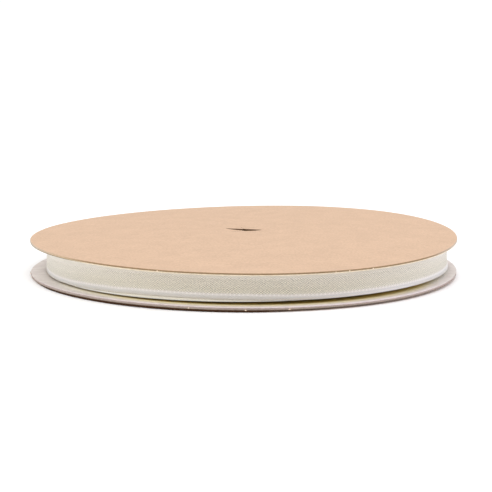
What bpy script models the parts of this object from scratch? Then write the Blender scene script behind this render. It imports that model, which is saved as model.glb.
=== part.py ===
"""Roll of sheer ribbon wound between two round card discs, lying flat.

Units are metres, +Z is up. The origin lies on the surface that the spool
rests on, under the middle of the discs. The front of the spool is -Y.
"""

import math

import bmesh
import bpy

# Card discs
DISC_RADIUS = 0.0625
CARD_THICKNESS = 0.00063
RIM_HEIGHT = 0.010755        # mean height of the upper disc's rim, at its upper face
DISC_DOME = 0.00125          # the upper disc's middle stands this much above its rim
LEAN_RIGHT = 0.00063         # the upper disc's rise at its right rim
LEAN_BACK = 0.00091          # the upper disc's rise at its rear rim
DISC_TWIST = 0.00103         # saddle-like warp of the upper disc
DISC_BEND = 0.00012          # its left and right rims stand this much higher, front and rear lower
REST_RADIUS = 0.030          # flat middle of the lower disc, on which the spool stands
RIM_LIFT = 0.00053           # mean clearance of the lower disc's rim over the surface
LIFT_RIGHT = 0.00053         # the lower disc's further rise at its right rim
LIFT_TWIST = 0.00075         # saddle-like warp of the lower disc's rim
LEAST_LIFT = 0.00010         # its rear left corner stays this much over the surface

# Star-shaped cut in the middle of each disc
STAR_RADIUS = 0.0057
STAR_POINTS = 6
STAR_TURN = math.radians(-17)
TIP_RADIUS = 0.0007
# How far the tip of each point is pressed into the spool, from the right point round to the front
UPPER_PRESS = (0.0, 0.0, 0.0, 0.00045, 0.00050, 0.00060)
LOWER_PRESS = (0.0008, 0.0005, 0.0003, 0.0006, 0.0004, 0.0007)

# Wound ribbon
RIBBON_WIDTH = 0.0070
ROLL_RADIUS = 0.0590
BORE_RADIUS = 0.017
ROLL_SHIFT = 0.00095         # the winding lies a little to the right of the discs' middle
CLEARANCE = 0.00035          # between the winding and each disc
LEVEL_TURNS = 0.0015         # depth of the turns that lie level with the outermost one
RISING_TURNS = 0.0035        # further in, the turns spread out to both discs over this depth
EDGE_BAND = 0.0017           # width of the dense woven band along each edge of the ribbon
BAND_TROUGH = 0.00012        # soft trough along the middle of each band
SHEER_SINK = 0.00025         # the thin middle of the ribbon lies this much deeper
EDGE_TUCK = 0.00010          # the outermost edge curls in by this much
FOOT_FLARE = 0.0003          # the lower band stands out at the far right

# Height of the outermost turn's lower edge over the surface, on a slightly tilted plane
EDGE_HEIGHT = 0.00200
EDGE_RISE_RIGHT = 0.00062
EDGE_RISE_BACK = 0.00008

# Fineness of the meshes
SEGMENTS = 96
DISC_RINGS = 6
RING_SPACING = 0.8           # below 1, the rings lie closer together towards the rim
TURN_RADII = (BORE_RADIUS, 0.025, 0.035, 0.046, ROLL_RADIUS - LEVEL_TURNS - RISING_TURNS)


def upper_disc_top(x, y):
    """Height of the upper disc's upper face: domed, leaning and slightly twisted."""
    u = x / DISC_RADIUS
    v = y / DISC_RADIUS
    lean = LEAN_RIGHT * u + LEAN_BACK * v
    warp = DISC_TWIST * u * v + DISC_BEND * (u * u - v * v)
    return RIM_HEIGHT + lean + warp + DISC_DOME * (1.0 - u * u - v * v)


def lower_disc_top(x, y):
    """Height of the lower disc's upper face: flat in the middle, raised at its rim."""
    outside = max(math.hypot(x, y) - REST_RADIUS, 0.0)
    share = outside / (DISC_RADIUS - REST_RADIUS)
    u = x / DISC_RADIUS
    v = y / DISC_RADIUS
    lift = RIM_LIFT + LIFT_RIGHT * u + LIFT_TWIST * u * v
    return CARD_THICKNESS + max(lift, LEAST_LIFT) * share ** 2


def ceiling_of_roll(x, y):
    return upper_disc_top(x, y) - CARD_THICKNESS - CLEARANCE


def floor_of_roll(x, y):
    return lower_disc_top(x, y) + CLEARANCE


def polar(radius, angle):
    return radius * math.cos(angle), radius * math.sin(angle)


def make_material(name, color, roughness):
    material = bpy.data.materials.new(name)
    material.use_nodes = True
    shader = material.node_tree.nodes["Principled BSDF"]
    shader.inputs["Base Color"].default_value = (*color, 1.0)
    shader.inputs["Roughness"].default_value = roughness
    shader.inputs["Metallic"].default_value = 0.0
    return material


def add_object(name, bm, material):
    """Turns the closed bmesh into a named object with the given material."""
    bmesh.ops.recalc_face_normals(bm, faces=bm.faces)
    mesh = bpy.data.meshes.new(name)
    bm.to_mesh(mesh)
    bm.free()
    mesh.shade_smooth()
    mesh.set_sharp_from_angle(angle=math.radians(35))
    mesh.materials.append(material)
    piece = bpy.data.objects.new(name, mesh)
    bpy.context.collection.objects.link(piece)
    return piece


def add_star_point(bm, root, middle_angle, press):
    """One point of the star: a fan from the arc at its root to its blunt tip."""
    half_tip = math.pi / STAR_POINTS / 2
    height = sum(vertex.co.z for vertex in root) / len(root) - press
    tips = []
    for side in (-1, 1):
        x, y = polar(TIP_RADIUS, middle_angle + side * half_tip)
        tips.append(bm.verts.new((x, y, height)))
    middle = len(root) // 2
    for index in range(len(root) - 1):
        tip = tips[0] if index < middle else tips[1]
        bm.faces.new((root[index], root[index + 1], tip))
    bm.faces.new((root[middle], tips[1], tips[0]))


def add_card_disc(name, material, height_at, presses):
    """A round card with a star cut in its middle.

    The slits between the points are one column of the rings wide. Each
    press lowers the tip of one point, from the right point round.
    """
    bm = bmesh.new()
    step = 2 * math.pi / SEGMENTS
    first_angle = STAR_TURN + step / 2
    rings = []
    for index in range(DISC_RINGS + 1):
        share = (index / DISC_RINGS) ** RING_SPACING
        radius = STAR_RADIUS + (DISC_RADIUS - STAR_RADIUS) * share
        places = [polar(radius, first_angle + step * column) for column in range(SEGMENTS)]
        rings.append([bm.verts.new((x, y, height_at(x, y))) for x, y in places])
    for inner, outer in zip(rings, rings[1:]):
        for column in range(SEGMENTS):
            after = (column + 1) % SEGMENTS
            bm.faces.new((inner[column], outer[column], outer[after], inner[after]))

    columns = SEGMENTS // STAR_POINTS
    for point, press in enumerate(presses):
        root = rings[0][point * columns:(point + 1) * columns]
        middle_angle = STAR_TURN + (point + 0.5) * 2 * math.pi / STAR_POINTS
        add_star_point(bm, root, middle_angle, press)

    underside = bmesh.ops.extrude_face_region(bm, geom=bm.faces[:])
    moved = [part for part in underside["geom"] if isinstance(part, bmesh.types.BMVert)]
    bmesh.ops.translate(bm, verts=moved, vec=(0.0, 0.0, -CARD_THICKNESS))
    return add_object(name, bm, material)


def band_profile():
    """The outermost turn from its lower edge up, as (height, inward offset) pairs."""
    lower_half = (
        (0.0, EDGE_TUCK),
        (EDGE_BAND * 0.20, 0.0),
        (EDGE_BAND * 0.50, BAND_TROUGH),
        (EDGE_BAND * 0.95, 0.0),
        (EDGE_BAND * 1.25, SHEER_SINK * 0.7),
        (EDGE_BAND * 1.60, SHEER_SINK),
    )
    upper_half = tuple((RIBBON_WIDTH - height, inset) for height, inset in reversed(lower_half))
    return lower_half + upper_half


def edge_height(angle):
    """Height of the outermost turn's lower edge at one angle."""
    return EDGE_HEIGHT + EDGE_RISE_RIGHT * math.cos(angle) + EDGE_RISE_BACK * math.sin(angle)


def roll_section(angle):
    """The winding's section at one angle, as a closed outline of points."""
    def place(radius, height_at):
        x, y = polar(radius, angle)
        return x + ROLL_SHIFT, y, height_at(x + ROLL_SHIFT, y)

    lower_side = [place(radius, floor_of_roll) for radius in TURN_RADII]
    upper_side = [place(radius, ceiling_of_roll) for radius in reversed(TURN_RADII)]
    foot = edge_height(angle)
    lower_side.append(place(ROLL_RADIUS - LEVEL_TURNS, lambda x, y: foot))
    upper_side.insert(0, place(ROLL_RADIUS - LEVEL_TURNS, lambda x, y: foot + RIBBON_WIDTH))
    outer_side = []
    for height, inset in band_profile():
        foot_share = max(1.0 - height / EDGE_BAND, 0.0)
        flare = FOOT_FLARE * foot_share * max(math.cos(angle), 0.0) ** 3
        x, y = polar(ROLL_RADIUS - inset + flare, angle)
        outer_side.append((x + ROLL_SHIFT, y, foot + height))
    return lower_side + outer_side + upper_side


def add_wound_roll(name, material):
    """The wound ribbon as one ring-shaped solid, swept section by section."""
    bm = bmesh.new()
    sections = []
    for segment in range(SEGMENTS):
        outline = roll_section(2 * math.pi * segment / SEGMENTS)
        sections.append([bm.verts.new(point) for point in outline])
    for segment, here in enumerate(sections):
        there = sections[(segment + 1) % SEGMENTS]
        for index in range(len(here)):
            after = (index + 1) % len(here)
            bm.faces.new((here[index], there[index], there[after], here[after]))
    return add_object(name, bm, material)


def main():
    for item in list(bpy.data.objects):
        bpy.data.objects.remove(item, do_unlink=True)
    kraft_card = make_material("kraft_card", (0.79, 0.57, 0.40), 0.75)
    grey_card = make_material("grey_card", (0.62, 0.55, 0.50), 0.80)
    sheer_ribbon = make_material("sheer_ribbon", (0.72, 0.68, 0.56), 0.60)
    add_card_disc("flange_bottom", grey_card, lower_disc_top, [-press for press in LOWER_PRESS])
    add_wound_roll("ribbon_roll", sheer_ribbon)
    add_card_disc("flange_top", kraft_card, upper_disc_top, UPPER_PRESS)


main()
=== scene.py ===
"""Looks of a roll of sheer ribbon wound between two round card discs.

Units are metres, +Z is up and the photographed front is -Y. The spool stands
on z = 0, and the floor lies a hair below that. Each disc is a grey board with
a kraft liner on its outer side. The outer turns of the ribbon are wound one by
one, as a spiral.
"""

import math
import random
from collections import namedtuple

import bmesh
import bpy
from mathutils import Matrix, Vector, noise


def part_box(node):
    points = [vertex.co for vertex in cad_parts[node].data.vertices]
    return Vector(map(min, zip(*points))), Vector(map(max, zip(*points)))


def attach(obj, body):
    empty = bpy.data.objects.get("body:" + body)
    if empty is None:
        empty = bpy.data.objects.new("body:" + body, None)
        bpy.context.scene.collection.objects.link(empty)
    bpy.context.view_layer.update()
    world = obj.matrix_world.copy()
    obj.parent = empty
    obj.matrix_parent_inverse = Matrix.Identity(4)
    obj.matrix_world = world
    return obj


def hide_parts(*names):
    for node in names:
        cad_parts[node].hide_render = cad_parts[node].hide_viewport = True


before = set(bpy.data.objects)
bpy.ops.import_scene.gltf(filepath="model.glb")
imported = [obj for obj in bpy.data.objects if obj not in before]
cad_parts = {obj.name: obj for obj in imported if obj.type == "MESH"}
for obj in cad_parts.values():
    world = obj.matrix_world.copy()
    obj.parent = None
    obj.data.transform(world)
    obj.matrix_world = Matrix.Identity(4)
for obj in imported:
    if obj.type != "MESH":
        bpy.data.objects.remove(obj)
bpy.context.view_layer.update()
DISC_LOW, DISC_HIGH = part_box("flange_top")
FULL_TURN = 2 * math.pi

# Card discs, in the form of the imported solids
DISC_RADIUS = (DISC_HIGH.x - DISC_LOW.x) / 2
CARD_THICKNESS = 0.00063
RIM_HEIGHT = 0.010755        # mean height of the upper disc's rim, at its upper face
DISC_DOME = 0.00125          # the upper disc's middle stands this much above its rim
LEAN_RIGHT = 0.00063         # the upper disc's rise at its right rim
LEAN_BACK = 0.00091          # the upper disc's rise at its rear rim
DISC_TWIST = 0.00103         # saddle-like warp of the upper disc
DISC_BEND = 0.00012          # its left and right rims stand this much higher, front and rear lower
REST_RADIUS = 0.030          # flat middle of the lower disc
RIM_LIFT = 0.00053           # mean clearance of the lower disc's rim over the floor
LIFT_RIGHT = 0.00053         # the lower disc's further rise at its right rim
LIFT_TWIST = 0.00075         # saddle-like warp of the lower disc's rim
LEAST_LIFT = 0.00010         # its rear left corner stays this much over the floor

# Layers and edge of the card
LINER = 0.00038              # thickness of the kraft liner
GLUE = 0.00001               # parting between liner and board
UPPER_ROUND = 0.00012        # the die rounds the upper disc's edge by this much
LOWER_ROUND = 0.00004
EDGE_WEAR = 0.00005          # unevenness of the cut edge
ROUGH_SHARE = 0.7            # share of it in fine roughness, which differs down the edge
ROUGH_AROUND = 90.0          # its fineness around the rim
ROUGH_DOWN = 3000.0          # its fineness down the edge
LONG_SHARE = 0.6             # share of it in long waves
LONG_AROUND = 7.0
UPPER_SEED = 3.0             # where the noise of each disc is read
LOWER_SEED = 17.0
RIM_ZONE = 0.0010            # nicks reach no further in than this
CARD_WAVE = 0.00003          # soft waviness of the card
CARD_WAVES = 60.0            # its fineness, per metre
SHADE_LIP = 0.00050               # the lower liner is turned down this far at the front left, a near-black lip of painted shade under the rim
SHADE_LIP_WIDTH = 0.00025
SHADE_LIP_ROOM = 0.00004          # the lip stays this much over the floor
SHADE_LIP_ANGLES = (202.0, 214.0, 270.0, 285.0)   # where it starts, is full, is still full and ends

# Star-shaped cut in the middle of each disc
STAR_RADIUS = 0.0057
STAR_POINTS = 6
STAR_TURN = math.radians(-17)
TIP_RADIUS = 0.0004
HALF_SLIT = 0.00003          # half the width of the cuts between the points
POINT_BEND = 0.70            # 1 keeps the points of the star flat, less bows them
TIP_CURL = 0.12              # the tips curl back up by this share
# How far the tip of each point is pressed into the spool, from the right point round to the front
UPPER_PRESS = (0.0, 0.0, 0.0, 0.00045, 0.00050, 0.00060)
LOWER_PRESS = (0.0008, 0.0005, 0.0003, 0.0006, 0.0004, 0.0007)

# Nicks in the rims: angle in degrees, width along the rim and depth, negative where the rim swells
UPPER_NICKS = ((225.0, 0.0006, 0.00020), (38.0, 0.0010, 0.00022), (131.0, 0.0007, 0.00018))
LOWER_NICKS = ((189.0, 0.0018, -0.00016), (193.5, 0.0009, 0.00028), (62.0, 0.0009, 0.00022))
# Small torn flakes of card on the rims: angle in degrees, depth below the upper face, size
UPPER_FLAKES = ((250.0, 0.0003, 0.00020), (291.5, 0.0003, 0.00018), (295.0, 0.0003, 0.00020),
                (301.5, 0.0003, 0.00022), (54.0, 0.0003, 0.00020))
LOWER_FLAKES = ((257.5, 0.0004, 0.00022), (270.5, 0.0006, 0.00022), (280.5, 0.0005, 0.00026),
                (190.0, 0.0005, 0.00026), (195.5, 0.0005, 0.00020), (116.0, 0.0005, 0.00022))
FLAKE_FORM = (0.6, 1.3, 0.8)     # half size out of the rim, along it and upright, times the flake's size
FLAKE_JITTER = 0.25              # each corner stands out more or less by up to this share
UPPER_FLAKE_SEED = 5
LOWER_FLAKE_SEED = 6

# Wound ribbon
RIBBON_WIDTH = 0.0070
ROLL_RADIUS = 0.0590
BORE_RADIUS = 0.017
ROLL_SHIFT = 0.00095         # the winding lies a little to the right of the discs' middle
CLEARANCE = 0.00035          # between the winding and each disc
LEVEL_TURNS = 0.0015         # depth of the turns that lie level with the outermost one
RISING_TURNS = 0.0035        # further in, the turns wander between the discs
EDGE_HEIGHT = 0.00203        # height of the level turns' lower edge, on a slightly tilted plane
EDGE_RISE_RIGHT = 0.00064
EDGE_RISE_BACK = 0.00008
HEAD_ROOM = 0.00005          # the upper disc presses the turns' tops down to this far under it
PRESSED_FROM = 0.55          # only this share of the ribbon's width and above gives way
FOOT_FLARE = 0.0003          # the lower band stands out at the far right
FLARE_HEIGHT = 0.0017
TURN_PITCH = 0.000108
RIBBON_THICKNESS = 0.000085
OUTER_END = 100.0            # angle in degrees of the ribbon's cut end, which lies flat at the back
EDGE_BAND = 0.00120          # width of the dense woven band along each edge
BAND_TROUGH = 0.00010
SHEER_SINK = 0.00020         # the sheer middle lies this much deeper than the bands
TROUGH_SLOPE = 0.45          # width of each side of the trough, in widths of the band
TROUGH_TURN = 0.50           # where it starts to rise again, in widths of the band
SINK_START = 1.05            # where the sheer middle starts to sink, in widths of the band
SINK_SLOPE = 0.75
EDGE_TUCK = 0.00005          # the very edge curls in by this much
TUCK_HEIGHT = 0.0002
PLAIN_SINK = 0.00019         # the turns under the outermost one lie this much deeper, without relief
SHOWN_LAP = 0.00045          # the next turn lies flush up to this far under the outermost one
SHOWN_FADE = 0.0004          # above that it sinks over this height
FLUSH_RISE = 0.0003          # it is fully flush where the outermost turn stands this much higher
EASE_FROM = 0.9              # a turn passes into the next from this part of it on
EASE = 0.1
LEVEL_STRAY = 0.00016        # the level turns stand up to this much higher or lower
STRAY_REACH = 1.1            # further in, this many times the room between the discs, and then cut off
STRAY_PER_TURN = 0.83        # step in the noise from one turn to the next
STRAY_AROUND = 0.7           # radius of the circle on which the noise is read around a turn
INNER_STRAY = 0.0012         # the hidden inner turns stay up to this far from the discs' clearance
INNER_STRAY_PER_GROUP = 0.71
INNER_STRAY_AROUND = 0.6
INNER_UPPER_SHIFT = 9.0      # their upper side reads the noise this far from their lower side
WEFT_PITCH = 0.00038         # spacing of the threads along the ribbon
WARP_PITCH = 0.00029         # spacing of the threads across it
STRIP_MAP = "Strip"          # UV map, in metres, of the ribbon and of each layer's cut edge

# How far the outermost turn stands above the next one: angle in degrees, height
OUTER_TURN_RISE = (
    (100.0, 0.00010),
    (209.0, 0.0),
    (215.0, 0.00012),
    (224.0, 0.00041),
    (233.0, 0.00062),
    (242.0, 0.00086),
    (249.0, 0.00088),
    (256.0, 0.00080),
    (263.0, 0.00067),
    (269.0, 0.00057),
    (275.0, 0.00040),
    (281.0, 0.00017),
    (288.0, 0.0),
    (360.0, 0.0),
    (460.0, 0.00010),
)

WHITE = (1.0, 1.0, 1.0)
BLACK = (0.0, 0.0, 0.0)

# Kraft liner and grey board
KRAFT = (0.603, 0.414, 0.282)
KRAFT_GRAIN = 0.7                    # share of fine grain in its unevenness, the rest is soft clouds
FIBRE_RELIEF = 0.5                   # how far its pale fibres stand out, against its grain
PALE_FIBRE = (0.74, 0.55, 0.40)
DARK_FIBRE = (0.46, 0.29, 0.18)
KRAFT_SPECK = (0.40, 0.25, 0.15)
BOARD_TONES = ((0.30, (0.770, 0.705, 0.690)), (0.70, (0.858, 0.798, 0.782)))
BOARD_FIBRE = (0.58, 0.52, 0.50)
BOARD_SPECK = (0.45, 0.38, 0.36)
# Fibres of each kind: direction in degrees, length and width in mm
PALE_FIBRES = ((8.0, 2.6, 0.13), (64.0, 2.0, 0.11), (127.0, 2.4, 0.12))
DARK_FIBRES = ((-21.0, 1.8, 0.10), (95.0, 2.2, 0.10))
BOARD_FIBRES = ((31.0, 1.6, 0.12), (102.0, 1.9, 0.12))

# Where a colour changes from left to right, its places are in mm to the right of the middle.
# Four of them say where it starts, where it is full, where it is still full and where it ends.
PAINTED_LIGHT_NEAR_RIBBON = (1.0, 0.98, 0.97)     # painted light on the board close to the winding, before the painted ribbon light tints it
UNDER_RADIUS = (58.5, 61.0)          # in mm from the axis, where it passes into the plain board
UNDER_LEFT = (-56.0, -44.0)          # it fades towards the left end
# Painted shade on the board at the front left, where the ribbon shades it
PAINTED_SHADE = (-60.0, -50.0, -40.0, -24.0)
# Where the painted light from the ribbon is full
PAINTED_LIGHT_SPAN = (-62.0, -16.0, 46.0, 56.0)
# Painted light by the distance from the axis: painted yellow light close to the ribbon, and a painted
# highlight at the rim
PAINTED_LIGHT_FROM = 56.0
PAINTED_LIGHT_WIDTH = 8.0
PAINTED_RIBBON_LIGHT = (
    (0.125, (1.0, 0.83, 0.32)),
    (0.312, (1.0, 0.91, 0.55)),
    (0.500, (0.87, 0.82, 0.66)),
    (0.688, (0.92, 0.905, 0.92)),
    (0.812, (1.10, 1.10, 1.12)),
)
PAINTED_END_LIGHT = (0.91, 0.91, 0.88)         # the painted light's tint at the left and right ends

# Cut edges of the card
STRATA = (1.2, 1.2, 9.0)             # strata to a mm along each axis
# Painted shade: the walls of the star's cuts are dark, for the shade deep in the slits
SLIT_SHADE = (0.11, 0.065, 0.035)
UPPER_LINER_EDGE = (0.28, 0.185, 0.10)
# Painted light: the upper liner's edge turns paler towards both ends, where light from the sides falls on
# it
UPPER_LINER_SIDE_LIGHT = (0.50, 0.42, 0.34)
UPPER_LINER_LEFT = (0.50, 0.36, 0.235)
UPPER_BOARD_EDGE = (0.82, 0.70, 0.53)
UPPER_BOARD_LEFT = (0.27, 0.215, 0.13)
LOWER_LINER_EDGE = (0.33, 0.265, 0.22)
# Painted shade: the lower liner turns near-black down its edge, for the shade under the rim
LOWER_LINER_SHADE = (0.045, 0.018, 0.006)
# The lower board's edge: its own grey, painted darker than the upper disc's board edge as shade near the
# floor
LOWER_BOARD_EDGE_SHADE = (0.44, 0.35, 0.335)
TORN_CARD = (0.80, 0.65, 0.50)
EDGE_LOW = (LINER * 0.65, LINER * 1.1)   # so far down an edge turns to its low colour of painted shade
EDGE_LEFT = (-49.0, -38.0)           # its left colour passes into the plain one here
EDGE_SIDES = (47.0, 61.0)            # and the plain one into the painted light of both ends here

# Ribbon
# Painted light: the turns' edges are a deep gold, for the light that goes yellow between the turns
TURN_EDGE_TONES = ((0.35, (0.53, 0.38, 0.10)), (0.65, (0.71, 0.52, 0.14)))
SECOND_WEFT_PITCH = WEFT_PITCH * 1.13    # a second net of threads lies over the first
SECOND_WARP_PITCH = WARP_PITCH * 0.97
SECOND_NET = 0.35                    # its share in the weave
RIB_PITCH = WARP_PITCH / 2           # fine ribs along the ribbon
RIB_HEIGHT = 0.3                     # against the threads' height
PATCH_LEAST = 0.45                   # strength of the weave in its faintest patches
PATCH_RANGE = 0.9                    # what the clearest patches have more
GRAIN_STRENGTH = 2.2                 # against the weave
BAND_CONTRAST = 0.07                 # contrast of weave and grain in the bands
SHEER_CONTRAST = 0.33                # what the sheer middle has more
RIGHT_CONTRAST = 0.07                # what its right half has more again
RIGHT_FROM = (-40.0, 0.0)            # where that comes in
BAND_BRIGHT = (15.0, 30.0, 43.0, 51.0)   # places of the bright stretch of the lower band
RIBBON_LEFT_LIGHT = (-54.0, -36.0)         # up to here the ribbon is a little paler at the left end: painted light
RIDGE = 0.172                        # the ridge, with painted glints on its threads, as a share of the width from the lower edge
# Painted glints along the ridge: their spacing and colour
GLINT_PITCH = 0.00055
RIDGE_GLINT = (0.90, 0.88, 0.84)
# Colours of the outermost turn, from its lower edge at 0 to its upper edge at 1: its own paler bands,
# with a painted highlight on the ridge, painted shade in the trough and painted light towards the top
OUTER_TONES = (
    (0.000, (0.555, 0.520, 0.465)),
    (0.030, (0.555, 0.522, 0.470)),
    (0.060, (0.556, 0.528, 0.488)),
    (0.085, (0.588, 0.565, 0.532)),
    (0.115, (0.632, 0.606, 0.575)),
    (0.150, (0.700, 0.664, 0.625)),
    (0.172, (0.690, 0.648, 0.605)),
    (0.205, (0.602, 0.556, 0.488)),
    (0.240, (0.578, 0.538, 0.442)),
    (0.400, (0.583, 0.540, 0.444)),
    (0.480, (0.614, 0.568, 0.472)),
    (0.720, (0.642, 0.596, 0.508)),
    (0.800, (0.700, 0.652, 0.575)),
    (0.900, (0.780, 0.732, 0.645)),
    (1.000, (0.820, 0.770, 0.690)),
)
# The lower band catches more light at the front right
BRIGHT_BAND = (0.630, 0.608, 0.592)
# Colours of the turn under it, whose lower band shows at the front left: the same ribbon, painted brighter
# there as light
NEXT_TONES = (
    (0.000, (0.651, 0.627, 0.579)),
    (0.030, (0.683, 0.663, 0.615)),
    (0.055, (0.744, 0.712, 0.611)),
    (0.085, (0.707, 0.667, 0.559)),
    (0.115, (0.659, 0.603, 0.514)),
    (0.200, (0.602, 0.554, 0.482)),
    (1.000, (0.600, 0.560, 0.500)),
)

# Soft light from all sides, stronger from above, before a white backdrop
SKY_LOW = 0.30
SKY_HIGH = 1.45
BACKDROP = 1.05
# Softboxes: name, place, size, power and colour
SOFTBOXES = (
    ("front_box", (0.10, -0.75, 0.70), 0.7, 1.3, WHITE),
    ("left_box", (-0.94, -0.25, 0.28), 0.5, 3.4, (0.96, 0.98, 1.03)),
    ("right_box", (0.95, 0.10, 0.35), 0.5, 3.6, (0.95, 0.98, 1.17)),
)
FLOOR_COLOR = (0.97, 0.97, 0.97)
FLOOR_HALF = 6.0
FLOOR_DROP = 0.00005         # the floor lies this much below the surface on which the spool stands

# Fineness of the meshes
SHARP_ANGLE = math.radians(38)
CARD_COLUMNS = 192
RIM_TIMES = 5                # the rim has this many times as many columns
CARD_RINGS = 12
RING_SPACING = 0.8           # below 1, the rings lie closer together towards the rim
RIM_RINGS = (0.55, 0.25, 0.08, 0.0)      # fine rings, in depths of the rim zone from the rim
EDGE_ROWS = (0.12, 0.35, 0.65, 0.88)     # rows of points down the cut edge of a layer
POINT_ROWS = 8
OUTER_STEPS = 480            # steps in each of the two outermost turns
TURN_STEPS = 180
INNER_STEPS = 120
INNER_STEP = 0.0007          # radial width of one group of inner turns
# Rows of points up the two outermost turns, as shares of the ribbon's width
FINE_ROWS = (0.0, 0.012, 0.028, 0.045, 0.065, 0.09, 0.12, 0.15, 0.18, 0.21, 0.25, 0.30, 0.36,
             0.50, 0.64, 0.70, 0.75, 0.79, 0.82, 0.85, 0.88, 0.91, 0.935, 0.955, 0.972, 0.988, 1.0)

# What sets one layer of card apart; the lip of painted shade is None or a function that gives its depth at
# an angle
CardForm = namedtuple("CardForm", "presses nicks edge_round burr seed")

# Camera, fitted to the photo's frame of 492 x 492 pixels
IMAGE_WIDTH = 492
FOCAL_PIXELS = 1153.2
SENSOR_WIDTH = 36.0
CAMERA_PLACE = (0.0, -0.33949, 0.05918)
CAMERA_PITCH = 0.1528
CAMERA_YAW = 0.0020
CAMERA_ROLL = 0.0038
CLIP_START = 0.01
CLIP_END = 50.0


def clamp(share):
    return min(max(share, 0.0), 1.0)


def smooth(share):
    """Eases a share from 0 to 1."""
    share = clamp(share)
    return share * share * (3.0 - 2.0 * share)


def mix(low, high, share):
    return low + (high - low) * share


def polar(radius, angle):
    return radius * math.cos(angle), radius * math.sin(angle)


def upper_disc_top(x, y):
    """Height of the upper disc's upper face: domed, leaning and slightly twisted."""
    u = x / DISC_RADIUS
    v = y / DISC_RADIUS
    lean = LEAN_RIGHT * u + LEAN_BACK * v
    warp = DISC_TWIST * u * v + DISC_BEND * (u * u - v * v)
    return RIM_HEIGHT + lean + warp + DISC_DOME * (1.0 - u * u - v * v)


def lower_disc_top(x, y):
    """Height of the lower disc's upper face: flat in the middle, raised at its rim."""
    outside = max(math.hypot(x, y) - REST_RADIUS, 0.0)
    share = outside / (DISC_RADIUS - REST_RADIUS)
    u = x / DISC_RADIUS
    v = y / DISC_RADIUS
    lift = RIM_LIFT + LIFT_RIGHT * u + LIFT_TWIST * u * v
    return CARD_THICKNESS + max(lift, LEAST_LIFT) * share ** 2


def ceiling_of_roll(x, y):
    return upper_disc_top(x, y) - CARD_THICKNESS - CLEARANCE


def floor_of_roll(x, y):
    return lower_disc_top(x, y) + CLEARANCE


class Finish:
    """One Principled material, with short ways to add and join its nodes."""

    def __init__(self, name, roughness, specular, sheen=0.0):
        self.material = bpy.data.materials.new(name)
        self.material.use_nodes = True
        self.tree = self.material.node_tree
        self.shader = self.tree.nodes["Principled BSDF"]
        self.shader.inputs["Roughness"].default_value = roughness
        self.shader.inputs["Specular IOR Level"].default_value = specular
        self.shader.inputs["Sheen Weight"].default_value = sheen

    def feed(self, socket, value):
        """Links a socket to a value that is a socket, or sets it to a plain value."""
        if isinstance(value, bpy.types.NodeSocket):
            self.tree.links.new(value, socket)
        else:
            socket.default_value = value

    def node(self, kind, inputs, **settings):
        """Adds a node, feeds its inputs by name or number, and returns it."""
        node = self.tree.nodes.new(kind)
        for key, value in settings.items():
            setattr(node, key, value)
        for socket, value in inputs.items():
            self.feed(node.inputs[socket], value)
        return node

    def math(self, operation, *values):
        return self.node("ShaderNodeMath", dict(enumerate(values)), operation=operation).outputs[0]

    def times(self, first, second):
        return self.math("MULTIPLY", first, second)

    def scale(self, vector, factor):
        inputs = {0: vector, "Scale": factor}
        return self.node("ShaderNodeVectorMath", inputs, operation="SCALE").outputs[0]

    def axes(self, vector):
        """The three parts of a vector."""
        return self.node("ShaderNodeSeparateXYZ", {0: vector}).outputs

    def millimetres(self):
        """The object's own coordinates in millimetres."""
        return self.scale(self.node("ShaderNodeTexCoord", {}).outputs["Object"], 1000.0)

    def strip(self):
        """The piece's own UV map, in metres."""
        return self.node("ShaderNodeUVMap", {}, uv_map=STRIP_MAP).outputs[0]

    def noise(self, place, per_mm, detail):
        inputs = {"Vector": place, "Scale": per_mm, "Detail": detail}
        return self.node("ShaderNodeTexNoise", inputs).outputs[0]

    def fibres(self, place, turn, length, width):
        """Thin streaks of that length and width in mm, which lie along one direction."""
        inputs = {
            "Vector": place,
            "Rotation": (0.0, 0.0, math.radians(turn)),
            "Scale": (1.0 / length, 1.0 / width, 1.0 / width),
        }
        stretched = self.node("ShaderNodeMapping", inputs).outputs[0]
        return self.rise(self.noise(stretched, per_mm=1.0, detail=1.0), low=0.60, high=0.74)

    def rise(self, value, low, high):
        """0 below low, 1 above high."""
        inputs = {"Value": value, "From Min": low, "From Max": high}
        return self.node("ShaderNodeMapRange", inputs, interpolation_type="SMOOTHSTEP").outputs[0]

    def fall(self, value, low, high):
        """1 below low, 0 above high."""
        return self.math("SUBTRACT", 1.0, self.rise(value, low, high))

    def between(self, value, start, full, still_full, end):
        """0 outside start and end, 1 from full to still full."""
        return self.math("SUBTRACT", self.rise(value, start, full), self.rise(value, still_full, end))

    def blend(self, share, first, second, at_most=1.0):
        """Mixes two colours, from the first at share 0 to at most so much of the second at 1."""
        if at_most < 1.0:
            share = self.times(share, at_most)
        inputs = {0: share, 6: opaque(first), 7: opaque(second)}
        return self.node("ShaderNodeMix", inputs, data_type="RGBA").outputs[2]

    def tint(self, color, light):
        """The colour under a coloured light."""
        inputs = {0: 1.0, 6: color, 7: light}
        return self.node("ShaderNodeMix", inputs, data_type="RGBA", blend_type="MULTIPLY").outputs[2]

    def bands(self, value, stops):
        """A colour for each value, read from stops of position and colour."""
        node = self.node("ShaderNodeValToRGB", {0: value})
        node.color_ramp.interpolation = "EASE"
        elements = node.color_ramp.elements
        while len(elements) < len(stops):
            elements.new(0.5)
        for element, (position, color) in zip(elements, stops):
            element.position = position
            element.color = opaque(color)
        return node.outputs[0]

    def bump(self, height, distance, strength):
        inputs = {"Height": height, "Distance": distance, "Strength": strength}
        self.feed(self.shader.inputs["Normal"], self.node("ShaderNodeBump", inputs).outputs[0])

    def color(self, value):
        self.feed(self.shader.inputs["Base Color"], value)


def opaque(color):
    """Adds an alpha of 1 to a plain colour, and passes a socket on."""
    return color if isinstance(color, bpy.types.NodeSocket) else (*color, 1.0)


def scaled(color, share):
    return tuple(channel * share for channel in color)


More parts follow.
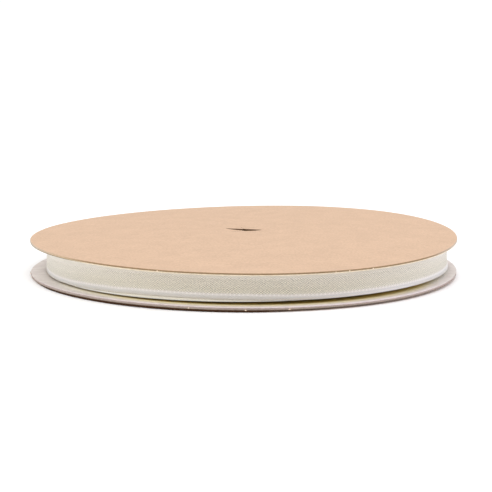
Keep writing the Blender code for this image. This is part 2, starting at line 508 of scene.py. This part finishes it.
def kraft_finish():
    """Kraft liner: warm brown with short pale and dark fibres."""
    finish = Finish("kraft_liner", 0.72, specular=0.25)
    place = finish.millimetres()
    cloud = finish.noise(place, per_mm=0.16, detail=4.0)
    grain = finish.noise(place, per_mm=1.7, detail=3.0)
    tone = finish.math("ADD", finish.times(cloud, 1.0 - KRAFT_GRAIN), finish.times(grain, KRAFT_GRAIN))
    color = finish.bands(tone, ((0.30, scaled(KRAFT, 0.91)), (0.70, scaled(KRAFT, 1.09))))
    relief = grain
    for turn, length, width in PALE_FIBRES:
        pale = finish.fibres(place, turn, length, width)
        color = finish.blend(pale, color, PALE_FIBRE, at_most=0.22)
        relief = finish.math("ADD", relief, finish.times(pale, FIBRE_RELIEF))
    for turn, length, width in DARK_FIBRES:
        dark = finish.fibres(place, turn, length, width)
        color = finish.blend(dark, color, DARK_FIBRE, at_most=0.24)
    specks = finish.rise(finish.noise(place, per_mm=3.1, detail=1.0), low=0.72, high=0.80)
    finish.color(finish.blend(specks, color, KRAFT_SPECK, at_most=0.35))
    finish.bump(relief, distance=0.00003, strength=0.55)
    return finish.material


def painted_board_light(finish, place, color):
    """Painted light and shade on the board: brighter and yellow near the winding, a little shaded at the
    front left, with a painted highlight at the rim.
    """
    level = finish.node("ShaderNodeVectorMath", {0: place, 1: (1.0, 1.0, 0.0)}, operation="MULTIPLY")
    radius = finish.node("ShaderNodeVectorMath", {0: level.outputs[0]}, operation="LENGTH").outputs["Value"]
    across = finish.axes(place)[0]
    under = finish.times(finish.fall(radius, *UNDER_RADIUS), finish.rise(across, *UNDER_LEFT))
    color = finish.blend(under, color, PAINTED_LIGHT_NEAR_RIBBON)
    color = finish.blend(finish.between(across, *PAINTED_SHADE), color, BLACK, at_most=0.06)
    outward = finish.math("MULTIPLY_ADD", radius, 1.0 / PAINTED_LIGHT_WIDTH, -PAINTED_LIGHT_FROM / PAINTED_LIGHT_WIDTH)
    painted_light = finish.bands(outward, PAINTED_RIBBON_LIGHT)
    return finish.tint(color, finish.blend(finish.between(across, *PAINTED_LIGHT_SPAN), PAINTED_END_LIGHT, painted_light))


def board_finish():
    """Grey board of recycled paper, slightly lilac, with darker specks."""
    finish = Finish("grey_board", 0.8, specular=0.2)
    place = finish.millimetres()
    color = finish.bands(finish.noise(place, per_mm=0.35, detail=4.0), BOARD_TONES)
    for turn, length, width in BOARD_FIBRES:
        fibre = finish.fibres(place, turn, length, width)
        color = finish.blend(fibre, color, BOARD_FIBRE, at_most=0.25)
    specks = finish.rise(finish.noise(place, per_mm=2.4, detail=1.0), low=0.70, high=0.78)
    color = finish.blend(specks, color, BOARD_SPECK, at_most=0.5)
    finish.color(painted_board_light(finish, place, color))
    finish.bump(finish.noise(place, per_mm=4.0, detail=2.0), distance=0.00003, strength=0.6)
    return finish.material


def cut_edge_finish(name, color, low_shade=None, side_light=None, left_color=None):
    """The cut edge of a layer of card: torn fibres in thin level strata.

    With a low colour, the edge turns to it further down, as read from its UV map; that colour is painted
    shade.
    With a left colour it turns to that towards its left end, and with a side
    colour, painted light that falls from the sides, towards both ends.
    """
    finish = Finish(name, 0.85, specular=0.15)
    place = finish.millimetres()
    strata = finish.node("ShaderNodeMapping", {"Vector": place, "Scale": STRATA}).outputs[0]
    tone = finish.noise(strata, per_mm=1.0, detail=3.0)
    mixed = finish.bands(tone, ((0.35, scaled(color, 0.85)), (0.65, scaled(color, 1.15))))
    if low_shade:
        down = finish.axes(finish.strip())[1]
        mixed = finish.blend(finish.rise(down, *EDGE_LOW), mixed, low_shade)
    across = finish.axes(place)[0]
    if left_color:
        mixed = finish.blend(finish.fall(across, *EDGE_LEFT), mixed, left_color)
    if side_light:
        sideways = finish.math("ABSOLUTE", across)
        mixed = finish.blend(finish.rise(sideways, *EDGE_SIDES), mixed, side_light)
    finish.color(mixed)
    finish.bump(finish.noise(strata, per_mm=2.5, detail=2.0), distance=0.00005, strength=0.9)
    return finish.material


def thread(finish, value, pitch):
    """A wave along a value, with half a wave to each pitch."""
    return finish.math("SINE", finish.times(value, math.pi / pitch))


def net(finish, along, across, weft_pitch, warp_pitch):
    """Threads that cross each other."""
    return finish.times(thread(finish, along, weft_pitch), thread(finish, across, warp_pitch))


def ribbon_tones(finish, along, share, sideways):
    """Colours of the bands, the ridge and the sheer middle, without their threads, with painted light and
    glints.
    """
    is_next = finish.math("GREATER_THAN", along, FULL_TURN * ROLL_RADIUS)
    color = finish.blend(is_next, finish.bands(share, OUTER_TONES), finish.bands(share, NEXT_TONES))
    from_ridge = finish.math("ABSOLUTE", finish.math("SUBTRACT", share, RIDGE))
    # Painted glints on the ridge's threads
    glints = finish.rise(thread(finish, along, GLINT_PITCH), low=0.2, high=0.9)
    on_ridge = finish.fall(from_ridge, low=0.02, high=0.05)
    color = finish.blend(finish.times(glints, on_ridge), color, RIDGE_GLINT, at_most=0.36)
    on_band = finish.fall(share, low=0.085, high=0.125)
    at_right = finish.between(sideways, *BAND_BRIGHT)
    color = finish.blend(finish.times(on_band, at_right), color, BRIGHT_BAND)
    # Painted light: the ribbon is paler at its left end, below its top
    at_left = finish.fall(sideways, *RIBBON_LEFT_LIGHT)
    below_top = finish.fall(share, low=0.5, high=0.9)
    return finish.blend(finish.times(at_left, below_top), color, WHITE, at_most=0.09)


def ribbon_finish():
    """Sheer plain weave between two dense bands, read from the strip's own UV map."""
    finish = Finish("organza_weave", 0.55, specular=0.35, sheen=0.10)
    strip = finish.strip()
    along, across, _ = finish.axes(strip)
    sideways = finish.axes(finish.millimetres())[0]
    share = finish.math("DIVIDE", across, RIBBON_WIDTH)
    first_net = finish.times(net(finish, along, across, WEFT_PITCH, WARP_PITCH), 1.0 - SECOND_NET)
    second_net = net(finish, along, across, SECOND_WEFT_PITCH, SECOND_WARP_PITCH)
    weave = finish.math("MULTIPLY_ADD", second_net, SECOND_NET, first_net)
    flat = finish.scale(strip, 1000.0)
    patches = finish.rise(finish.noise(flat, per_mm=0.9, detail=2.0), low=0.3, high=0.7)
    uneven = finish.math("MULTIPLY_ADD", patches, PATCH_RANGE, PATCH_LEAST)
    grain = finish.math("SUBTRACT", finish.noise(flat, per_mm=2.8, detail=3.0), 0.5)
    light = finish.math("MULTIPLY_ADD", grain, GRAIN_STRENGTH, finish.times(weave, uneven))
    sheer = finish.times(finish.rise(share, low=0.18, high=0.24), finish.fall(share, low=0.76, high=0.84))
    at_right = finish.rise(sideways, *RIGHT_FROM)
    contrast = finish.math("MULTIPLY_ADD", at_right, RIGHT_CONTRAST, SHEER_CONTRAST)
    strength = finish.math("MULTIPLY_ADD", sheer, contrast, BAND_CONTRAST)
    brightness = finish.math("MULTIPLY_ADD", light, strength, 1.0)
    finish.color(finish.scale(ribbon_tones(finish, along, share, sideways), brightness))
    ribs = thread(finish, across, RIB_PITCH)
    finish.bump(finish.math("MULTIPLY_ADD", ribs, RIB_HEIGHT, weave), distance=0.00005, strength=0.6)
    return finish.material


def turn_edge_finish():
    """Edges of the many turns: their own golden tone, deepened as painted yellow light between them."""
    finish = Finish("turn_edges", 0.6, specular=0.2)
    place = finish.millimetres()
    finish.color(finish.bands(finish.noise(place, per_mm=2.0, detail=2.0), TURN_EDGE_TONES))
    finish.bump(finish.noise(place, per_mm=6.0, detail=2.0), distance=0.00003, strength=0.5)
    return finish.material


def add_piece(name, points, faces, finishes, finish_of_face, replaced, uvs=None):
    """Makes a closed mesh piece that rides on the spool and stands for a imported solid."""
    mesh = bpy.data.meshes.new(name)
    mesh.from_pydata(points, [], faces)
    for finish in finishes:
        mesh.materials.append(finish)
    mesh.polygons.foreach_set("material_index", finish_of_face)
    if uvs:
        layer = mesh.uv_layers.new(name=STRIP_MAP)
        for loop in mesh.loops:
            layer.data[loop.index].uv = uvs[loop.vertex_index]
    bm = bmesh.new()
    bm.from_mesh(mesh)
    bmesh.ops.recalc_face_normals(bm, faces=bm.faces)
    bm.to_mesh(mesh)
    bm.free()
    mesh.shade_smooth()
    mesh.set_sharp_from_angle(angle=SHARP_ANGLE)
    piece = bpy.data.objects.new(name, mesh)
    bpy.context.collection.objects.link(piece)
    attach(piece, "root")
    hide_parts(replaced)
    return piece


def join_rings(faces, inner, outer):
    """Joins two closed rings, the outer with a whole number of times as many points."""
    times = len(outer) // len(inner)
    for index, here in enumerate(inner):
        there = inner[(index + 1) % len(inner)]
        fine = [outer[(index * times + step) % len(outer)] for step in range(times + 1)]
        if times == 1:
            faces.append((here, fine[0], fine[1], there))
            continue
        middle = times // 2
        for step in range(times):
            corner = here if step < middle else there
            faces.append((corner, fine[step], fine[step + 1]))
        faces.append((here, fine[middle], there))


def card_pattern():
    """The flat pattern of a disc: points, faces and the indices of the rim.

    A point is (radius, angle, flap, reach). Flap is the number of the star's
    point that it belongs to, and reach grows from 0 at the root to 1 at the tip.
    """
    points = []
    faces = []
    step = FULL_TURN / CARD_COLUMNS
    first_angle = STAR_TURN + step / 2
    columns = CARD_COLUMNS // STAR_POINTS

    def add_ring(radius, times):
        start = len(points)
        for column in range(CARD_COLUMNS * times):
            points.append((radius, first_angle + step * column / times, None, 0.0))
        return list(range(start, len(points)))

    def flap_row(radius, flap, reach):
        """Points across one point of the star, from slit to slit."""
        middle = STAR_TURN + (flap + 0.5) * FULL_TURN / STAR_POINTS
        half_width = math.pi / STAR_POINTS - math.asin(HALF_SLIT / radius)
        sides = [2.0 * column / (columns - 1) - 1.0 for column in range(columns)]
        return [(radius, middle + side * half_width, flap, reach) for side in sides]

    plain_radius = DISC_RADIUS - RIM_ZONE
    rings = []
    for index in range(CARD_RINGS + 1):
        share = (index / CARD_RINGS) ** RING_SPACING
        rings.append(add_ring(mix(STAR_RADIUS, plain_radius, share), 1))
    for depth in RIM_RINGS:
        rings.append(add_ring(DISC_RADIUS - RIM_ZONE * depth, RIM_TIMES))
    for inner, outer in zip(rings, rings[1:]):
        join_rings(faces, inner, outer)

    for flap in range(STAR_POINTS):
        above = rings[0][flap * columns:(flap + 1) * columns]
        for index, point in zip(above, flap_row(STAR_RADIUS, flap, 0.0)):
            points[index] = point
        for row in range(1, POINT_ROWS + 1):
            reach = row / POINT_ROWS
            start = len(points)
            points += flap_row(mix(STAR_RADIUS, TIP_RADIUS, reach), flap, reach)
            here = list(range(start, len(points)))
            for column in range(columns - 1):
                faces.append((here[column], above[column], above[column + 1], here[column + 1]))
            above = here
    return points, faces, rings[-1]


def open_edges(faces):
    """Edges that only one face uses, in that face's direction."""
    directed = {}
    for face in faces:
        for start, end in zip(face, face[1:] + face[:1]):
            directed[(start, end)] = True
    return [(start, end) for start, end in directed if (end, start) not in directed]


def rim_inset(angle, depth, form):
    """How far the cut edge lies inside the disc's full radius, at a depth below its upper face."""
    nearest_face = min(depth, CARD_THICKNESS - depth)
    inset = form.edge_round * max(1.0 - nearest_face / form.edge_round, 0.0) ** 2
    x, y = polar(1.0, angle)
    rough = noise.noise(Vector((x * ROUGH_AROUND, y * ROUGH_AROUND, form.seed + depth * ROUGH_DOWN)))
    long = noise.noise(Vector((x * LONG_AROUND, y * LONG_AROUND, form.seed)))
    inset += EDGE_WEAR * (ROUGH_SHARE * abs(rough) + LONG_SHARE * abs(long))
    for nick_angle, width, nick_depth in form.nicks:
        away = (angle - math.radians(nick_angle) + math.pi) % FULL_TURN - math.pi
        inset += nick_depth * math.exp(-(away * DISC_RADIUS / (width / 2)) ** 2)
    return inset


def shade_lip_at(angle):
    """How far the lower liner is turned down at the rim, as a dark lip of painted shade."""
    degrees = math.degrees(angle) % 360.0
    start, full, still_full, end = SHADE_LIP_ANGLES
    window = smooth((degrees - start) / (full - start))
    window *= 1.0 - smooth((degrees - still_full) / (end - still_full))
    x, y = polar(DISC_RADIUS, angle)
    room = lower_disc_top(x, y) - CARD_THICKNESS - SHADE_LIP_ROOM
    return max(min(SHADE_LIP, room), 0.0) * window


def add_card_layer(name, pattern, top_at, depths, form, finishes, replaced):
    """One layer of a disc, between two depths below the disc's upper face."""
    flat_points, flat_faces, rim = pattern
    upper, lower = depths

    def turned_down(flat_point, depth):
        """How far the lip of painted shade lowers a point."""
        lip = smooth(1.0 - (DISC_RADIUS - flat_point[0]) / SHADE_LIP_WIDTH)
        if form.burr is None or lip == 0.0:
            return 0.0
        return form.burr(flat_point[1]) * lip * ((depth - upper) / (lower - upper)) ** 2

    def place(flat_point, depth):
        """A point of the flat pattern in its place on the disc."""
        radius, angle, flap, reach = flat_point
        from_rim = DISC_RADIUS - radius
        if from_rim < RIM_ZONE:
            radius -= rim_inset(angle, depth, form) * (1.0 - from_rim / RIM_ZONE)
        x, y = polar(radius, angle)
        wave = CARD_WAVE * noise.noise(Vector((x * CARD_WAVES, y * CARD_WAVES, form.seed)))
        bend = reach ** POINT_BEND * (1.0 - TIP_CURL * reach ** 4)
        press = form.presses[flap] * bend if flap is not None else 0.0
        return x, y, top_at(x, y) + wave - press - depth - turned_down(flat_point, depth)

    def down(flat_point, depth):
        """The layer's own UV: how far down its cut edge a point lies."""
        return 0.0, depth - upper + turned_down(flat_point, depth)

    points = [place(point, upper) for point in flat_points]
    uvs = [down(point, upper) for point in flat_points]
    count = len(points)
    points += [place(point, lower) for point in flat_points]
    uvs += [down(point, lower) for point in flat_points]
    faces = list(flat_faces)
    faces += [tuple(index + count for index in reversed(face)) for face in flat_faces]
    flat_count = len(faces)

    rows = [rim]
    for share in EDGE_ROWS:
        start = len(points)
        points += [place(flat_points[index], mix(upper, lower, share)) for index in rim]
        uvs += [down(flat_points[index], mix(upper, lower, share)) for index in rim]
        rows.append(list(range(start, len(points))))
    rows.append([index + count for index in rim])
    for above, below in zip(rows, rows[1:]):
        for column in range(len(rim)):
            after = (column + 1) % len(rim)
            faces.append((above[column], below[column], below[after], above[after]))
    finish_of_face = [0] * flat_count + [1] * (len(faces) - flat_count)
    on_rim = set(rim)
    for start, end in open_edges(flat_faces):
        if start not in on_rim:
            faces.append((end, start, start + count, end + count))
            finish_of_face.append(2)
    return add_piece(name, points, faces, finishes, finish_of_face, replaced, uvs)


def add_flakes(name, top_at, flakes, seed, finish, replaced):
    """Small torn flakes of card that hang on the cut edge of a disc."""
    draws = random.Random(seed)
    out, along, upright = FLAKE_FORM
    bm = bmesh.new()
    for angle, depth, size in flakes:
        angle = math.radians(angle)
        x, y = polar(DISC_RADIUS, angle)
        centre = Vector((x, y, top_at(x, y) - depth))
        turn = Matrix.Rotation(angle, 4, "Z")
        flake = bmesh.ops.create_icosphere(bm, subdivisions=1, radius=1.0)
        for vertex in flake["verts"]:
            jitter = 1.0 + draws.uniform(-FLAKE_JITTER, FLAKE_JITTER)
            form = Vector((vertex.co.x * out, vertex.co.y * along, vertex.co.z * upright))
            local = form * size * jitter
            vertex.co = centre + turn @ local
    points = [tuple(vertex.co) for vertex in bm.verts]
    bm.verts.index_update()
    faces = [tuple(vertex.index for vertex in face.verts) for face in bm.faces]
    bm.free()
    return add_piece(name, points, faces, [finish], [0] * len(faces), replaced)


def outer_turn_rise(angle):
    """Reads OUTER_TURN_RISE between its rows, for an angle in degrees."""
    first = OUTER_TURN_RISE[0][0]
    angle = (angle - first) % 360.0 + first
    for (start, low), (end, high) in zip(OUTER_TURN_RISE, OUTER_TURN_RISE[1:]):
        if angle <= end:
            return mix(low, high, smooth((angle - start) / (end - start)))
    return OUTER_TURN_RISE[-1][1]


def level_foot(angle):
    """Height of the level turns' lower edge."""
    return EDGE_HEIGHT + EDGE_RISE_RIGHT * math.cos(angle) + EDGE_RISE_BACK * math.sin(angle)


def turn_foot(turn, angle):
    """Height of the ribbon's lower edge, so many turns in from its outer end."""
    foot = level_foot(angle)
    if turn < 1.0:
        return foot + outer_turn_rise(math.degrees(angle)) * (1.0 - smooth((turn - EASE_FROM) / EASE))
    if turn < 2.0:
        return foot
    depth = turn * TURN_PITCH
    x, y = polar(ROLL_RADIUS - depth, angle)
    c, s = polar(STRAY_AROUND, angle)
    share = clamp((depth - LEVEL_TURNS) / RISING_TURNS)
    stray = noise.noise(Vector((turn * STRAY_PER_TURN, c, s)))
    low = floor_of_roll(x + ROLL_SHIFT, y)
    room = ceiling_of_roll(x + ROLL_SHIFT, y) - low - RIBBON_WIDTH
    wandering = low + room * clamp(0.5 + STRAY_REACH * stray)
    level = foot + LEVEL_STRAY * stray * smooth(turn - 2.0)
    return mix(level, wandering, share)


def press_on_top(turn, angle, foot):
    """How far the upper disc presses the ribbon's upper edge down."""
    x, y = polar(ROLL_RADIUS - turn * TURN_PITCH, angle)
    highest = upper_disc_top(x + ROLL_SHIFT, y) - CARD_THICKNESS - HEAD_ROOM
    return max(foot + RIBBON_WIDTH - highest, 0.0)


def relief(height):
    """Inward offset of the outermost turn's face, from its lower edge up."""
    from_edge = min(height, RIBBON_WIDTH - height)
    tuck = EDGE_TUCK * (1.0 - smooth(from_edge / TUCK_HEIGHT))
    trough = BAND_TROUGH * smooth(from_edge / (EDGE_BAND * TROUGH_SLOPE))
    trough *= 1.0 - smooth((from_edge - EDGE_BAND * TROUGH_TURN) / (EDGE_BAND * TROUGH_SLOPE))
    sink = SHEER_SINK * smooth((from_edge - EDGE_BAND * SINK_START) / (EDGE_BAND * SINK_SLOPE))
    return tuck + trough + sink


def turn_inset(turn, angle, height):
    """Inward offset of a turn's outer face at a height above its lower edge."""
    plain = smooth((turn - EASE_FROM) / EASE)
    inset = mix(relief(height), PLAIN_SINK, plain)
    if turn >= 1.0:
        rise = outer_turn_rise(math.degrees(angle))
        hidden = smooth((height - max(rise - SHOWN_LAP, 0.0)) / SHOWN_FADE)
        flush = smooth(rise / FLUSH_RISE) * (1.0 - hidden) * smooth((2.0 - turn) / EASE)
        inset *= 1.0 - flush
    flare = FOOT_FLARE * max(1.0 - height / FLARE_HEIGHT, 0.0) * max(math.cos(angle), 0.0) ** 3
    return inset - flare


def add_turns(name, first_turn, last_turn, steps, heights, finishes):
    """Winds the ribbon as a closed thin strip from one turn to another, going inwards."""
    total = round((last_turn - first_turn) * steps)
    points = []
    uvs = []
    for index in range(total + 1):
        turn = first_turn + index / steps
        angle = math.radians(OUTER_END) + FULL_TURN * turn
        along = FULL_TURN * turn * ROLL_RADIUS
        foot = turn_foot(turn, angle)
        press = press_on_top(turn, angle, foot)
        face_radius = ROLL_RADIUS - TURN_PITCH * turn
        outside = [(face_radius - turn_inset(turn, angle, height), height) for height in heights]
        inside = [(radius - RIBBON_THICKNESS, height) for radius, height in reversed(outside)]
        for radius, height in outside + inside:
            x, y = polar(radius, angle)
            pressed = press * smooth((height / RIBBON_WIDTH - PRESSED_FROM) / (1.0 - PRESSED_FROM))
            points.append((x + ROLL_SHIFT, y, foot + height - pressed))
            uvs.append((along, height))
    count = 2 * len(heights)
    faces = []
    finish_of_face = []
    for index in range(total):
        here = index * count
        there = here + count
        for side in range(count):
            after = (side + 1) % count
            faces.append((here + side, there + side, there + after, here + after))
            on_edge = side == len(heights) - 1 or side == count - 1
            finish_of_face.append(1 if on_edge else 0)
    faces.append(tuple(range(count)))
    faces.append(tuple(total * count + side for side in reversed(range(count))))
    finish_of_face += [0, 0]
    return add_piece(name, points, faces, finishes, finish_of_face, "ribbon_roll", uvs)


def add_inner_turns(name, outer_radius, finish):
    """The hidden inner turns, in narrow groups that stand a little higher or lower."""
    groups = round((outer_radius - BORE_RADIUS) / INNER_STEP)
    radii = [mix(BORE_RADIUS, outer_radius, index / groups) for index in range(groups + 1)]
    points = []
    for step in range(INNER_STEPS):
        angle = FULL_TURN * step / INNER_STEPS
        c, s = polar(INNER_STRAY_AROUND, angle)
        lower_side = []
        upper_side = []
        for group in range(groups):
            here = group * INNER_STRAY_PER_GROUP
            stray_low = abs(noise.noise(Vector((here, c, s))))
            stray_high = abs(noise.noise(Vector((here, c, s + INNER_UPPER_SHIFT))))
            for radius in (radii[group], radii[group + 1]):
                x, y = polar(radius, angle)
                x += ROLL_SHIFT
                lower_side.append((x, y, floor_of_roll(x, y) + INNER_STRAY * stray_low))
                upper_side.append((x, y, ceiling_of_roll(x, y) - INNER_STRAY * stray_high))
        points += lower_side + upper_side[::-1]
    count = 4 * groups
    faces = []
    for step in range(INNER_STEPS):
        here = step * count
        there = (step + 1) % INNER_STEPS * count
        for side in range(count):
            after = (side + 1) % count
            faces.append((here + side, there + side, there + after, here + after))
    finish_of_face = [0] * len(faces)
    return add_piece(name, points, faces, [finish], finish_of_face, "ribbon_roll")


def add_discs(kraft, board):
    """Both discs, each a liner and a board, and the flakes on their rims."""
    pattern = card_pattern()
    # The star's cut walls get painted shade
    slit = cut_edge_finish("star_slit_shade", SLIT_SHADE)
    # The upper liner's edge has painted light at both ends
    warm_liner = cut_edge_finish("upper_liner_edge", UPPER_LINER_EDGE,
                                 side_light=UPPER_LINER_SIDE_LIGHT, left_color=UPPER_LINER_LEFT)
    warm_board = cut_edge_finish("upper_board_edge", UPPER_BOARD_EDGE, left_color=UPPER_BOARD_LEFT)
    outer_liner = (0.0, LINER)
    inner_board = (LINER + GLUE, CARD_THICKNESS)
    upper = CardForm(UPPER_PRESS, UPPER_NICKS, UPPER_ROUND, None, UPPER_SEED)
    add_card_layer("liner_top", pattern, upper_disc_top, outer_liner, upper,
                   [kraft, warm_liner, slit], "flange_top")
    add_card_layer("board_top", pattern, upper_disc_top, inner_board, upper,
                   [board, warm_board, slit], "flange_top")
    # The lower liner's edge turns to painted shade at its foot
    shaded_liner_edge = cut_edge_finish("lower_liner_edge", LOWER_LINER_EDGE, low_shade=LOWER_LINER_SHADE)
    # The lower board's edge is painted darker, as shade near the floor
    shaded_board_edge = cut_edge_finish("lower_board_edge_shade", LOWER_BOARD_EDGE_SHADE)
    upper_board = (0.0, CARD_THICKNESS - LINER - GLUE)
    under_liner = (CARD_THICKNESS - LINER, CARD_THICKNESS)
    raised = [-press for press in LOWER_PRESS]
    lower = CardForm(raised, LOWER_NICKS, LOWER_ROUND, None, LOWER_SEED)
    lower_with_shade_lip = CardForm(raised, LOWER_NICKS, LOWER_ROUND, shade_lip_at, LOWER_SEED)
    add_card_layer("board_bottom", pattern, lower_disc_top, upper_board, lower,
                   [board, shaded_board_edge, slit], "flange_bottom")
    add_card_layer("liner_bottom", pattern, lower_disc_top, under_liner, lower_with_shade_lip,
                   [kraft, shaded_liner_edge, slit], "flange_bottom")
    torn = cut_edge_finish("torn_card", TORN_CARD)
    add_flakes("flakes_top", upper_disc_top, UPPER_FLAKES, UPPER_FLAKE_SEED,
               torn, "flange_top")
    add_flakes("flakes_bottom", lower_disc_top, LOWER_FLAKES, LOWER_FLAKE_SEED,
               torn, "flange_bottom")


def add_ribbon(weave, turn_edge):
    """The outer turns one by one, the first two of them finely, and the inner turns in groups."""
    fine_heights = [RIBBON_WIDTH * share for share in FINE_ROWS]
    plain_heights = [0.0, RIBBON_WIDTH]
    last_turn = math.floor((LEVEL_TURNS + RISING_TURNS) / TURN_PITCH)
    add_turns("ribbon_outer_turns", 0.0, 2.0, OUTER_STEPS, fine_heights, [weave, turn_edge])
    add_turns("ribbon_wound_turns", 2.0, last_turn, TURN_STEPS, plain_heights, [weave, turn_edge])
    inner_radius = ROLL_RADIUS - TURN_PITCH * last_turn - PLAIN_SINK - RIBBON_THICKNESS * 2
    add_inner_turns("ribbon_inner_turns", inner_radius, turn_edge)


def add_floor():
    """A plain pale floor."""
    finish = Finish("pale_floor", 0.9, specular=0.1)
    finish.color(opaque(FLOOR_COLOR))
    mesh = bpy.data.meshes.new("floor")
    directions = ((-1, -1), (1, -1), (1, 1), (-1, 1))
    corners = [(FLOOR_HALF * x, FLOOR_HALF * y, -FLOOR_DROP) for x, y in directions]
    mesh.from_pydata(corners, [], [(0, 1, 2, 3)])
    mesh.materials.append(finish.material)
    floor = bpy.data.objects.new("floor", mesh)
    bpy.context.collection.objects.link(floor)


def add_softbox(name, place, size, power, color):
    """A square area light that faces the spool."""
    data = bpy.data.lights.new(name, "AREA")
    data.shape = "SQUARE"
    data.size = size
    data.energy = power
    data.color = color
    light = bpy.data.objects.new(name, data)
    light.location = place
    light.rotation_euler = (-Vector(place)).to_track_quat("-Z", "Y").to_euler()
    bpy.context.collection.objects.link(light)


def add_sky():
    """Pale light from all sides, with its own brightness where the camera sees it."""
    world = bpy.data.worlds.new("studio")
    world.use_nodes = True
    nodes = world.node_tree.nodes
    links = world.node_tree.links
    direction = nodes.new("ShaderNodeTexCoord")
    axes = nodes.new("ShaderNodeSeparateXYZ")
    links.new(direction.outputs["Generated"], axes.inputs[0])
    overhead = nodes.new("ShaderNodeMapRange")
    overhead.inputs["To Min"].default_value = SKY_LOW
    overhead.inputs["To Max"].default_value = SKY_HIGH
    links.new(axes.outputs["Z"], overhead.inputs["Value"])
    path = nodes.new("ShaderNodeLightPath")
    seen = nodes.new("ShaderNodeMix")
    seen.inputs["B"].default_value = BACKDROP
    links.new(path.outputs["Is Camera Ray"], seen.inputs["Factor"])
    links.new(overhead.outputs[0], seen.inputs["A"])
    background = nodes["Background"]
    background.inputs["Color"].default_value = opaque(WHITE)
    links.new(seen.outputs[0], background.inputs["Strength"])
    bpy.context.scene.world = world


def add_light():
    add_sky()
    for softbox in SOFTBOXES:
        add_softbox(*softbox)


def set_view():
    """Shows the colours as they are, without a look."""
    view = bpy.context.scene.view_settings
    view.view_transform = "Standard"
    view.look = "None"
    view.exposure = 0.0
    view.gamma = 1.0


def add_camera():
    """The photo's camera, from its pitch, yaw and roll."""
    forward = Vector((
        math.sin(CAMERA_YAW) * math.cos(CAMERA_PITCH),
        math.cos(CAMERA_YAW) * math.cos(CAMERA_PITCH),
        -math.sin(CAMERA_PITCH),
    ))
    level_right = Vector((math.cos(CAMERA_YAW), -math.sin(CAMERA_YAW), 0.0))
    level_up = level_right.cross(forward)
    right = level_right * math.cos(CAMERA_ROLL) + level_up * math.sin(CAMERA_ROLL)
    up = level_up * math.cos(CAMERA_ROLL) - level_right * math.sin(CAMERA_ROLL)
    data = bpy.data.cameras.new("photo_camera")
    data.sensor_width = SENSOR_WIDTH
    data.lens = FOCAL_PIXELS * SENSOR_WIDTH / IMAGE_WIDTH
    data.clip_start = CLIP_START
    data.clip_end = CLIP_END
    camera = bpy.data.objects.new("photo_camera", data)
    axes = Matrix((right, up, -forward)).transposed().to_4x4()
    camera.matrix_world = Matrix.Translation(CAMERA_PLACE) @ axes
    bpy.context.collection.objects.link(camera)
    bpy.context.scene.camera = camera


add_camera()
set_view()
add_light()
add_floor()
add_discs(kraft_finish(), board_finish())
add_ribbon(ribbon_finish(), turn_edge_finish())
